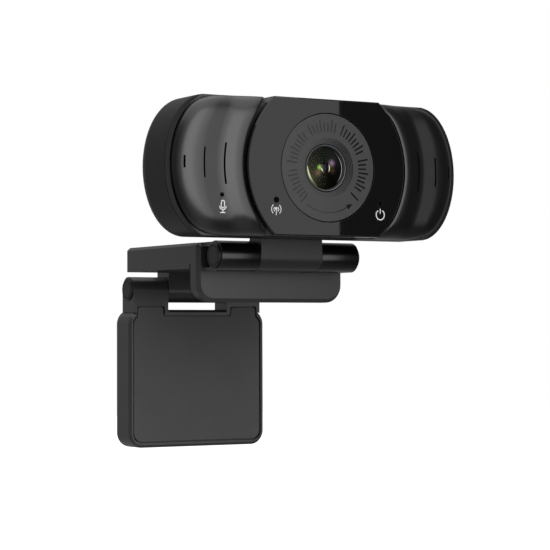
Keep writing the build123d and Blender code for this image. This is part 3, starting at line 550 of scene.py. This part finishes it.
def wing(side):
    """One wing: its face, the lip's inner wall, a skirt behind the outline, and slots with real depth."""
    rows = wing_rows()
    radii = wing_columns()
    points = []
    for z in rows:
        wall = LIP_Y + LIP_WALL + edge_roll(MIDDLE_X, z)
        inner = math.sqrt(LIP_R**2 - z**2)
        row = [(inner, max(GROOVE_Y, wall)), (inner, wall)]
        for radius in radii:
            x = wing_x(radius, z)
            row.append((x, wing_depth(x, z)))
        row.append((row[-1][0] - 0.02, SKIRT_Y))
        points += [to_row(side * x, y, z) for x, y in row]
    width = len(radii) + 3
    faces = []
    slot_walls = []
    for i in range(len(rows) - 1):
        middle_z = (rows[i] + rows[i + 1]) / 2
        for k in range(width - 1):
            quad = (i * width + k, i * width + k + 1, (i + 1) * width + k + 1, (i + 1) * width + k)
            column = k - 2
            in_slot = column >= 0 and any(
                abs(radii[column] - low) < 1e-6 and bottom < middle_z < top
                for low, _, bottom, top in SLOTS
            )
            if in_slot:
                slot_walls.append(quad)
            else:
                faces.append(quad)
    for end in (0, len(rows) - 1):
        start = len(points)
        for k in range(width):
            p = points[end * width + k]
            points.append(Vector((p.x, max(p.y, (SKIRT_Y + LENS_Y) * MM), p.z)))
        for k in range(width - 1):
            faces.append((end * width + k, end * width + k + 1, start + k + 1, start + k))
    deep = Vector((0, SLOT_DEPTH * MM, 0))
    for quad in slot_walls:
        start = len(points)
        points += [points[index] + deep for index in quad]
        a, b, c, d = quad
        faces.append((a, d, start + 3, start))
        faces.append((b, c, start + 2, start + 1))
        rise = [round(points[index].z / MM - LENS_Z, 4) for index in (a, d)]
        for _, _, bottom, top in SLOTS:
            if abs(rise[0] - bottom) < 1e-3:
                faces.append((a, b, start + 1, start))
            if abs(rise[1] - top) < 1e-3:
                faces.append((d, c, start + 2, start + 3))
    name = "wing_left" if side < 0 else "wing_right"
    return piece(name, points, faces, "bezel_plastic", "head", 30.0)


def drum_outline(radius, half_h, steps=40):
    """The panel's outline: a circle cut flat at the top and bottom, as (x, z) points."""
    corner = math.asin(half_h / radius)
    outline = []
    for i in range(steps + 1):
        angle = -corner + 2 * corner * i / steps
        outline.append((radius * math.cos(angle), radius * math.sin(angle)))
    for i in range(steps + 1):
        angle = math.pi - corner + 2 * corner * i / steps
        outline.append((radius * math.cos(angle), radius * math.sin(angle)))
    return outline


def centre_drum():
    """The block behind the panel, with the floor of the groove round it."""
    levels = ((PANEL_R - 4, PANEL_BACK + 0.02), (PANEL_R - 0.05, PANEL_BACK + 0.02),
              (PANEL_R, PANEL_BACK + 0.1), (PANEL_R, RIM_Y - 0.05), (PANEL_R - 2.5, RIM_Y - 0.05))
    points = []
    faces = []
    for radius, depth in levels:
        ring = drum_outline(radius, PANEL_HALF_H - (PANEL_R - radius))
        count = len(ring)
        points += [to_row(x, depth, z) for x, z in ring]
    for level in range(len(levels) - 1):
        for k in range(count):
            j = (k + 1) % count
            here = level * count
            deeper = here + count
            faces.append((here + k, here + j, deeper + j, deeper + k))
    for side in (-1, 1):
        low = len(points)
        steps = 40
        reach = math.asin((WING_HALF_H - 0.3) / LIP_R)
        for i in range(steps + 1):
            angle = -reach + 2 * reach * i / steps
            for radius in (PANEL_R - 0.3, LIP_R + 0.05):
                x, z = radius * math.cos(angle), radius * math.sin(angle)
                depth = max(GROOVE_Y - 0.05, LIP_Y + 0.4 + edge_roll(MIDDLE_X, z))
                points.append(to_row(side * x, depth, z))
        for i in range(steps):
            a = low + 2 * i
            faces.append((a, a + 1, a + 3, a + 2))
    return piece("centre_drum", points, faces, "bezel_plastic", "head")


def cut_mic_hole(obj):
    """A round hole through the left wing in front of the microphone, with a wall behind its rim."""
    x, z, radius = MIC_HOLE
    centre = to_row(x, 0, z)
    planes = []
    for i in range(MIC_SIDES):
        angle = 2 * math.pi * i / MIC_SIDES
        planes.append(Vector((math.cos(angle), 0, math.sin(angle))))

    def from_centre(point):
        return math.hypot(point.x - centre.x, point.z - centre.z) / MM

    def inside(face):
        offset = face.calc_center_median() - centre
        return all(offset.dot(outward) < radius * MM for outward in planes)

    work = bmesh.new()
    work.from_mesh(obj.data)
    for outward in planes:
        near = [face for face in work.faces if from_centre(face.calc_center_median()) < 3 * radius]
        edges = {edge for face in near for edge in face.edges}
        corners = {corner for face in near for corner in face.verts}
        around = [*near, *edges, *corners]
        spot = centre + outward * radius * MM
        bmesh.ops.bisect_plane(work, geom=around, dist=1e-9, plane_co=spot, plane_no=outward)
    bmesh.ops.delete(work, geom=[face for face in work.faces if inside(face)], context="FACES")
    rim = [edge for edge in work.edges if edge.is_boundary and from_centre(edge.verts[0].co) < 2 * radius]
    # The wall is built face by face, because an extrude puts its faces in a different order each run
    back = Vector((0, MIC_DEPTH * MM, 0))
    deep = {}
    for edge in rim:
        a, b = edge.verts
        for corner in (a, b):
            if corner not in deep:
                deep[corner] = work.verts.new(corner.co + back)
        work.faces.new((a, b, deep[b], deep[a]))
    work.to_mesh(obj.data)
    work.free()
    tidy_mesh(obj.data, 30.0)


def build_bezel():
    """The wings and the block behind the panel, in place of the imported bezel."""
    left = wing(-1)
    right = wing(1)
    drum = centre_drum()
    cut_mic_hole(left)
    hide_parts("front_bezel")


# ---- Lens ---------------------------------------------------------------------------------------
def dome_profile(radius, apex, edge, steps=14):
    """A spherical cap's profile, from its rim to its centre."""
    sag = edge - apex
    sphere = (radius**2 + sag**2) / (2 * sag)
    profile = []
    for i in range(steps + 1):
        r = radius * (1 - i / steps)
        profile.append((r, apex + sphere - math.copysign(math.sqrt(sphere**2 - r**2), sphere)))
    return profile


def crescent(name, slot, radius, width, depth, tilt, start, end, steps):
    """A thin bevelled sickle round the lens axis, tilted outwards by tilt degrees, or inwards below 0. It
    serves as a painted glint.
    """
    points, faces = [], []
    lean = math.tan(math.radians(tilt))
    for i in range(steps + 1):
        angle = math.radians(start + (end - start) * i / steps)
        wide = width * math.sin(math.pi * (0.03 + 0.94 * i / steps)) ** 0.7
        for r in (radius, radius - wide):
            points.append(to_row(r * math.cos(angle), depth + (r - radius) * lean, r * math.sin(angle)))
    for i in range(steps):
        a = 2 * i
        faces.append((a, a + 1, a + 3, a + 2))
    obj = piece(name, points, faces, slot, "lens")


def build_lens():
    """The front glass, the coated element and its pupil behind it, the retainer, and the bright glints."""
    front = [(6.55, 4.4), (6.7, 4.2), (6.7, 1.85)] + dome_profile(6.62, 1.0, 1.8)
    glass = turned("front_glass", front, "glass", "lens")
    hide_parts("front_element")
    inner = [(6.45, 2.9)] + [point for point in dome_profile(6.45, 1.35, 2.1, 24) if point[0] > 1.8]
    inner += [(1.7, 1.42), (1.6, 1.6), (1.5, 2.6)]
    coated = turned("coated_element", inner, "coating", "lens")
    pupil = turned("pupil_element", dome_profile(1.5, 2.2, 2.5, 8), "pupil_glass", "lens", 48)
    edge = [(7.35, 1.7), (7.35, 1.3), (7.26, 1.2), (7.1, 1.2), (7.0, 1.28)]
    rim = turned("retainer_rim", edge, "silver_trim", "lens")
    slope = [(7.0, 1.28), (6.8, 1.62), (6.62, 1.7)]
    bezel = turned("retainer_slope", slope, "optics_black", "lens")
    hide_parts("lens_retainer")
    # The glints are painted highlights: arcs of bright metal only where highlights fall
    for glint in GLINTS:
        crescent(*glint)


def barrel_skin(side):
    """The glossy skin over the front half of one of the clip's hinge barrels."""
    cap_low, cap_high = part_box("front_cap_left")
    axis_y = (cap_low.y + cap_high.y) / 2
    axis_z = (cap_low.z + cap_high.z) / 2
    skin_r = BARREL_R + BARREL_SKIN
    profile = (
        (BARREL_INNER, BARREL_R),
        (BARREL_INNER + BARREL_EASE, skin_r),
        (BARREL_OUTER - BARREL_EASE, skin_r),
        (BARREL_OUTER, BARREL_R),
    )
    steps = 64
    width = len(profile)
    points, faces = [], []
    for i in range(steps + 1):
        angle = math.radians(BARREL_TOP + (BARREL_BOTTOM - BARREL_TOP) * i / steps)
        for x, radius in profile:
            y = axis_y + radius * MM * math.cos(angle)
            z = axis_z + radius * MM * math.sin(angle)
            points.append(Vector((side * x * MM, y, z)))
    for i in range(steps):
        for k in range(width - 1):
            a = i * width + k
            faces.append((a, a + width, a + width + 1, a + 1))
    name = "barrel_skin_left" if side < 0 else "barrel_skin_right"
    obj = piece(name, points, faces, "hinge_gloss", "clip")


# ---- Prints -------------------------------------------------------------------------------------
def surface_depth(x, z):
    """Depth of the front surface that a print lies on."""
    radius = math.hypot(x, z)
    return 0.0 if radius < PANEL_R else wing_depth(x, z)


def ribbon(lines, width, lift):
    """Points and faces of flat strips that follow lines of (x, z) on the head's front."""
    points, faces = [], []
    for line in lines:
        start = len(points)
        for i, (x, z) in enumerate(line):
            before = line[max(i - 1, 0)]
            after = line[min(i + 1, len(line) - 1)]
            along = Vector((after[0] - before[0], after[1] - before[1])).normalized()
            for side in (-0.5, 0.5):
                px = x - side * width * along.y
                pz = z + side * width * along.x
                points.append(to_row(px, surface_depth(px, pz) - lift, pz))
        for i in range(len(line) - 1):
            a = start + 2 * i
            faces.append((a, a + 1, a + 3, a + 2))
    return points, faces


def arc(cx, cz, radius, start, end, steps=20):
    """Points of an arc, angles in degrees from +X towards +Z."""
    line = []
    for i in range(steps + 1):
        angle = math.radians(start + (end - start) * i / steps)
        line.append((cx + radius * math.cos(angle), cz + radius * math.sin(angle)))
    return line


def print_piece(name, lines, width, slot, lift=PRINT_LIFT):
    """Strips of print that follow lines, on the head."""
    points, faces = ribbon(lines, width, lift)
    obj = piece(name, points, faces, slot, "head")
    return obj


def power_icon():
    """An open circle with a bar."""
    cx, cz = 19.46, -14.3
    lines = [arc(cx, cz, 1.55, 120, 420, 28), [(cx, cz + 0.35), (cx, cz + 1.95)]]
    print_piece("power_icon", lines, 0.36, "led_white")


def aerial_icon():
    """A mast with a dot on top, and two waves on each side."""
    cx, cz = -18.87, -13.3
    lines = [[(cx, cz - 0.3), (cx, cz - 2.1)]]
    for radius in (0.85, 1.7):
        lines.append(arc(cx, cz - 0.2, radius, -50, 50, 14))
        lines.append(arc(cx, cz - 0.2, radius, 130, 230, 14))
    print_piece("aerial_icon", lines, 0.27, "led_white")
    dot = [arc(cx, cz, 0.22, 0, 360, 16)]
    print_piece("aerial_icon_dot", dot, 0.44, "led_white", 0.008)


def microphone_icon():
    """An outlined capsule in a yoke, on a stand."""
    cx, top = -36.3, -10.9
    capsule = arc(cx, top - 0.85, 0.55, 0, 180, 12) + arc(cx, top - 2.0, 0.55, 180, 360, 12)
    capsule.append(capsule[0])
    yoke = arc(cx, top - 2.0, 1.1, 180, 360, 16)
    stand = [(cx, top - 3.1), (cx, top - 3.9)]
    foot = [(cx - 0.9, top - 4.0), (cx + 0.9, top - 4.0)]
    print_piece("microphone_icon", [capsule, yoke, stand, foot], 0.34, "led_white")


def ring_marks():
    """A band of plain strokes towards the lens and a curved arrow, in gloss on the matte ring."""
    strokes = []
    inner, outer = 11.3, 15.0
    count = 46
    first, last = 228, -42
    for i in range(count):
        angle = math.radians(first - (first - last) * i / (count - 1))
        if i % 9 == 8:                       # every ninth stroke is left out
            continue
        short = 0.8 if i % 3 else 0.0        # every third stroke is longer
        near = (inner * math.cos(angle), inner * math.sin(angle))
        far = ((outer - short) * math.cos(angle), (outer - short) * math.sin(angle))
        strokes.append([near, far])
    print_piece("ring_strokes", strokes, 0.5, "ring_print", RING_LIFT)
    sweep = arc(0, 0, 14.1, 236, 300, 30)
    print_piece("ring_sweep", [sweep], 0.3, "ring_print", RING_LIFT)
    tip = math.radians(309)
    root = math.radians(300)
    points = [
        to_row(14.3 * math.cos(tip), -RING_LIFT, 14.3 * math.sin(tip)),
        to_row(13.2 * math.cos(root), -RING_LIFT, 13.2 * math.sin(root)),
        to_row(15.0 * math.cos(root), -RING_LIFT, 15.0 * math.sin(root)),
    ]
    head = piece("ring_arrow", points, [(0, 1, 2)], "ring_print", "head")


# ---- Studio -------------------------------------------------------------------------------------
CAMERA_LENS = 133.86
CAMERA_ANGLES = (30.47, 1.58, -0.18)             # turn to the right, rise and roll, in degrees
CAMERA_PLACE = (-0.33855, -0.60543, -0.0204)     # in metres


def camera():
    """A long lens to the left of the lens axis and slightly below it."""
    data = bpy.data.cameras.new("camera")
    data.sensor_width = 36.0
    data.lens = CAMERA_LENS
    data.clip_start = 0.01
    data.clip_end = 50.0
    turn, rise, roll = (math.radians(angle) for angle in CAMERA_ANGLES)
    ahead = Vector((math.sin(turn) * math.cos(rise), math.cos(turn) * math.cos(rise), math.sin(rise)))
    level = Vector((math.cos(turn), -math.sin(turn), 0))
    upright = level.cross(ahead)
    right = math.cos(roll) * level + math.sin(roll) * upright
    up = -math.sin(roll) * level + math.cos(roll) * upright
    obj = bpy.data.objects.new("camera", data)
    x, y, z = CAMERA_PLACE
    obj.matrix_world = Matrix(
        (
            (right.x, up.x, -ahead.x, x),
            (right.y, up.y, -ahead.y, y),
            (right.z, up.z, -ahead.z, z),
            (0, 0, 0, 1),
        )
    )
    bpy.context.scene.collection.objects.link(obj)
    bpy.context.scene.camera = obj


PEAK = 0.6               # above every brightness in ROUND, because a colour ramp goes up to 1
ROUND = (                # azimuth from the front (-Y) towards +X, in degrees, and brightness
    (-180, 0.5), (-150, 0.38), (-120, 0.3), (-95, 0.2), (-72, 0.15), (-50, 0.5), (-20, 0.5), (20, 0.3),
    (30, 0.12), (60, 0.05), (100, 0.08), (140, 0.42), (180, 0.5),
)
HEIGHT = ((-90, 0.5), (-35, 0.8), (0, 1.0), (35, 1.0), (90, 0.8))     # elevation and factor
# Extra light above and below: elevation where it starts, elevation where it is full, and brightness
OVERHEAD = (50, 90, 0.3)
UNDERNEATH = (-30, -80, 0.3)
# Soft boxes, facing the part: name, left X, right X, low Z, high Z, distance in front, brightness
BOXES = (
    ("soft_box", -0.62, 0.478, -0.3, 0.85, 0.813, 1.25),
    ("key_box", -0.52, -0.02, -0.22, 0.75, 0.8, 0.85),
)
TOP_BOX = (-0.6, 0.32, -0.5, 0.4, 0.6)     # left X, right X, front Y, back Y, height
TOP_LIGHT = 0.95


def ramp(tree, value, stops, low, high, peak):
    """A brightness curve as a colour ramp, from stops of (position, brightness)."""
    node = tree.nodes.new("ShaderNodeValToRGB")
    elements = node.color_ramp.elements
    while len(elements) > 1:
        elements.remove(elements[-1])
    for i, (position, level) in enumerate(stops):
        place = (position - low) / (high - low)
        element = elements[0] if i == 0 else elements.new(place)
        element.position = place
        grey = level / peak
        element.color = (grey, grey, grey, 1)
    tree.links.new(remap(tree, value, low, high, 0, 1), node.inputs["Fac"])
    return node.outputs["Color"]


def extra_light(tree, elevation, start, full, brightness):
    """Light that grows from nothing at one elevation to its full brightness at another."""
    return remap(tree, elevation, start, full, 0.0, brightness)


def studio():
    """The pale room round the part, lit by direction. The camera itself sees plain white."""
    world = bpy.data.worlds.new("studio")
    bpy.context.scene.world = world
    world.use_nodes = True
    tree = world.node_tree
    tree.nodes.clear()
    output = tree.nodes.new("ShaderNodeOutputWorld")
    split = tree.nodes.new("ShaderNodeSeparateXYZ")
    tree.links.new(tree.nodes.new("ShaderNodeTexCoord").outputs["Generated"], split.inputs[0])
    x, y, z = split.outputs
    azimuth = math_node(tree, "ARCTAN2", x, math_node(tree, "MULTIPLY", y, -1.0))
    azimuth = math_node(tree, "MULTIPLY", azimuth, 180 / math.pi)
    elevation = math_node(tree, "MULTIPLY", math_node(tree, "ARCSINE", z), 180 / math.pi)
    around = math_node(tree, "MULTIPLY", ramp(tree, azimuth, ROUND, -180, 180, PEAK), PEAK)
    level = math_node(tree, "MULTIPLY", around, ramp(tree, elevation, HEIGHT, -90, 90, 1.0))
    dome = extra_light(tree, elevation, *OVERHEAD)
    ground = extra_light(tree, elevation, *UNDERNEATH)
    lit = math_node(tree, "ADD", math_node(tree, "ADD", level, dome), ground)
    background = tree.nodes.new("ShaderNodeBackground")
    tree.links.new(lit, background.inputs["Strength"])
    white = tree.nodes.new("ShaderNodeBackground")
    white.inputs["Color"].default_value = (1, 1, 1, 1)
    mix = tree.nodes.new("ShaderNodeMixShader")
    tree.links.new(tree.nodes.new("ShaderNodeLightPath").outputs["Is Camera Ray"], mix.inputs["Fac"])
    tree.links.new(background.outputs[0], mix.inputs[1])
    tree.links.new(white.outputs[0], mix.inputs[2])
    tree.links.new(mix.outputs[0], output.inputs["Surface"])
    bpy.context.scene.view_settings.view_transform = "Standard"
    bpy.context.scene.view_settings.look = "None"


def soft_boxes():
    """The upright soft boxes in front of the part."""
    for name, left, right, low, high, distance, brightness in BOXES:
        data = bpy.data.lights.new(name, "AREA")
        data.shape = "RECTANGLE"
        data.size = right - left
        data.size_y = high - low
        data.energy = brightness * math.pi * data.size * data.size_y
        obj = bpy.data.objects.new(name, data)
        place = Matrix.Translation(((left + right) / 2, -distance, (low + high) / 2))
        obj.matrix_world = place @ Matrix.Rotation(math.radians(90), 4, "X")
        bpy.context.scene.collection.objects.link(obj)
        obj.visible_camera = False


def top_box():
    """A level soft box above and to the left."""
    left, right, front, back, high = TOP_BOX
    data = bpy.data.lights.new("top_box", "AREA")
    data.shape = "RECTANGLE"
    data.size = right - left
    data.size_y = back - front
    data.energy = TOP_LIGHT * math.pi * data.size * data.size_y
    obj = bpy.data.objects.new("top_box", data)
    obj.location = ((left + right) / 2, (front + back) / 2, high)
    bpy.context.scene.collection.objects.link(obj)
    obj.visible_camera = False


def floor():
    """A wide pale floor well below the part."""
    material, tree, shader = new_material("floor_pale")
    tree.links.new(
        mix_colour(tree, noise(tree, 60.0), (0.86, 0.86, 0.86), (0.9, 0.9, 0.9)), shader.inputs["Base Color"]
    )
    shader.inputs["Roughness"].default_value = 1.0
    shader.inputs["Specular IOR Level"].default_value = 0.0
    shader.inputs["Emission Color"].default_value = (1, 1, 1, 1)
    shader.inputs["Emission Strength"].default_value = 1.0
    mesh = bpy.data.meshes.new("floor")
    reach, drop = 6.0, -0.32
    corners = [(-reach, -reach, drop), (reach, -reach, drop), (reach, reach, drop), (-reach, reach, drop)]
    mesh.from_pydata(corners, [], [(0, 1, 2, 3)])
    mesh.materials.append(material)
    obj = bpy.data.objects.new("floor", mesh)
    bpy.context.scene.collection.objects.link(obj)
    obj.visible_glossy = False
    obj.visible_diffuse = False


# ---- Build --------------------------------------------------------------------------------------
camera()
studio()
soft_boxes()
top_box()
floor()
dress_nodes()
build_bezel()
build_lens()
barrel_skin(-1)
barrel_skin(1)
power_icon()
aerial_icon()
microphone_icon()
ring_marks()
